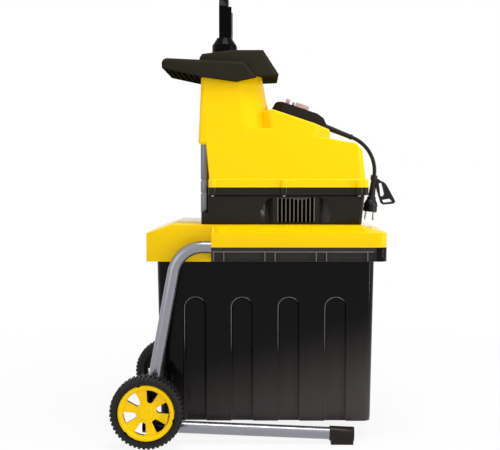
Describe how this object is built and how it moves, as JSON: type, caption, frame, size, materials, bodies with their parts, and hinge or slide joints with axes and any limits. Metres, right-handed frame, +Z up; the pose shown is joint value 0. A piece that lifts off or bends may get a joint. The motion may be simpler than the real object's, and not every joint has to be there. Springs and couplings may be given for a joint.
{
  "type": "garden shredder",
  "caption": "Upright garden shredder on a wheeled tube frame, with a feed hopper and plunger, a roller cutter in a tower and a pull-out collection box under the deck.",
  "frame": {"origin": "on the floor, at the middle of the footprint without the hanging lead", "axes": "+X from the wheels to the front where the box pulls out, +Y to the left, +Z up"},
  "size_m": [0.6678, 0.5, 1.038],
  "materials": {
    "yellow_plastic": "semi-gloss",
    "black_plastic": "satin",
    "box_plastic": "satin",
    "wheel_plastic": "satin",
    "tyre_rubber": "matt",
    "tube_steel": "bright zinc",
    "steel": "machined",
    "cast_metal": "die-cast",
    "stator_iron": "varnished",
    "fan_plastic": "satin",
    "pale_plastic": "satin",
    "red_plastic": "gloss",
    "green_plastic": "gloss",
    "clear_plastic": "clear",
    "lead_rubber": "satin",
    "pin_brass": "nickel plated"
  },
  "bodies": {
    "chassis": {"deck_cover": "yellow_plastic", "side_rail_right": "black_plastic", "side_rail_left": "black_plastic", "frame_tube_right": "tube_steel", "frame_tube_left": "tube_steel", "lower_tube_right": "tube_steel", "lower_tube_left": "tube_steel", "axle_bracket_right": "black_plastic", "axle_bracket_left": "black_plastic", "foot_right": "black_plastic", "foot_left": "black_plastic", "axle": "steel", "axle_clips": "steel", "deck_screws": "steel", "interlock_switch": "black_plastic", "base_housing": "black_plastic", "upper_housing": "yellow_plastic", "seam_screws": "steel", "front_plate": "cast_metal", "cutter_housing": "cast_metal", "roller_bearings": "steel", "motor_can": "cast_metal", "motor_stator": "stator_iron", "capacitor": "pale_plastic", "gear_plate": "cast_metal", "gear_pins": "steel", "gear_cover": "black_plastic", "inlet_chute": "black_plastic", "hopper": "black_plastic", "switch_box": "black_plastic", "lead_sleeve": "lead_rubber", "mains_lead": "lead_rubber", "plug": "lead_rubber", "plug_pins": "pin_brass", "lead_hook": "lead_rubber"},
    "wheel_right": {"tyre_right": "tyre_rubber", "wheel_disc_right": "wheel_plastic", "wheel_cap_right": "yellow_plastic"},
    "wheel_left": {"tyre_left": "tyre_rubber", "wheel_disc_left": "wheel_plastic", "wheel_cap_left": "yellow_plastic"},
    "box": {"collection_box": "box_plastic"},
    "lock": {"box_lock": "red_plastic"},
    "rotor": {"motor_rotor": "steel", "motor_fan": "fan_plastic"},
    "gear_one": {"first_gear": "steel"},
    "gear_two": {"second_gear": "steel"},
    "roller": {"cutting_roller": "steel", "output_gear": "steel"},
    "screw": {"adjusting_screw": "steel"},
    "plate": {"counter_plate": "steel"},
    "plunger": {"plunger_body": "black_plastic", "plunger_grip": "black_plastic"},
    "flap": {"stop_flap": "red_plastic"},
    "start": {"start_button": "green_plastic"},
    "stop": {"stop_button": "red_plastic"},
    "reset": {"reset_cap": "clear_plastic"},
    "selector": {"selector_knob": "black_plastic"}
  },
  "joints": [
    {"name": "wheel_right_spin", "type": "hinge", "parent": "chassis", "child": "wheel_right", "pos_m": [-0.229, -0.2275, 0.0825], "axis": [0, 1, 0], "continuous": true},
    {"name": "wheel_left_spin", "type": "hinge", "parent": "chassis", "child": "wheel_left", "pos_m": [-0.229, 0.2275, 0.0825], "axis": [0, 1, 0], "continuous": true},
    {"name": "box_slide", "type": "slide", "parent": "chassis", "child": "box", "axis": [1, 0, 0], "range_m": [0, 0.4]},
    {"name": "lock_turn", "type": "hinge", "parent": "chassis", "child": "lock", "pos_m": [0.3, 0, 0.469], "axis": [-1, 0, 0], "range_deg": [0, 90]},
    {"name": "motor_spin", "type": "hinge", "parent": "chassis", "child": "rotor", "pos_m": [0.12, 0, 0.61], "axis": [0, 1, 0], "continuous": true},
    {"name": "first_gear_spin", "type": "hinge", "parent": "chassis", "child": "gear_one", "pos_m": [0.075, 0, 0.61], "axis": [0, 1, 0], "continuous": true},
    {"name": "second_gear_spin", "type": "hinge", "parent": "chassis", "child": "gear_two", "pos_m": [0.03, 0, 0.61], "axis": [0, 1, 0], "continuous": true},
    {"name": "roller_spin", "type": "hinge", "parent": "chassis", "child": "roller", "pos_m": [-0.03, 0, 0.61], "axis": [0, 1, 0], "continuous": true},
    {"name": "screw_turn", "type": "hinge", "parent": "chassis", "child": "screw", "pos_m": [-0.09, 0, 0.61], "axis": [1, 0, 0], "range_deg": [0, 900]},
    {"name": "plate_slide", "type": "slide", "parent": "chassis", "child": "plate", "axis": [1, 0, 0], "range_m": [0, 0.0044]},
    {"name": "plunger_slide", "type": "slide", "parent": "chassis", "child": "plunger", "axis": [0, 0, 1], "range_m": [0, 0.25]},
    {"name": "flap_lift", "type": "hinge", "parent": "chassis", "child": "flap", "pos_m": [0.10722, 0, 0.78497], "axis": [0, -1, 0], "range_deg": [0, 95]},
    {"name": "start_press", "type": "slide", "parent": "chassis", "child": "start", "axis": [-0.3206, 0, -0.9472], "range_m": [0, 0.003], "stiffness_N_per_m": 300},
    {"name": "stop_press", "type": "slide", "parent": "chassis", "child": "stop", "axis": [-0.3206, 0, -0.9472], "range_m": [0, 0.003], "stiffness_N_per_m": 300},
    {"name": "reset_press", "type": "slide", "parent": "chassis", "child": "reset", "axis": [-0.3206, 0, -0.9472], "range_m": [0, 0.003], "stiffness_N_per_m": 300},
    {"name": "selector_turn", "type": "hinge", "parent": "chassis", "child": "selector", "pos_m": [0.15834, 0.018, 0.76133], "axis": [0.3206, 0, 0.9472], "range_deg": [-45, 45]}
  ],
  "couplings": [
    {"joint": "first_gear_spin", "follows": "motor_spin", "ratio": -0.25},
    {"joint": "second_gear_spin", "follows": "motor_spin", "ratio": 0.0625},
    {"joint": "roller_spin", "follows": "motor_spin", "ratio": -0.015625},
    {"joint": "screw_turn", "follows": "plate_slide", "rad_per_m": 3570}
  ]
}
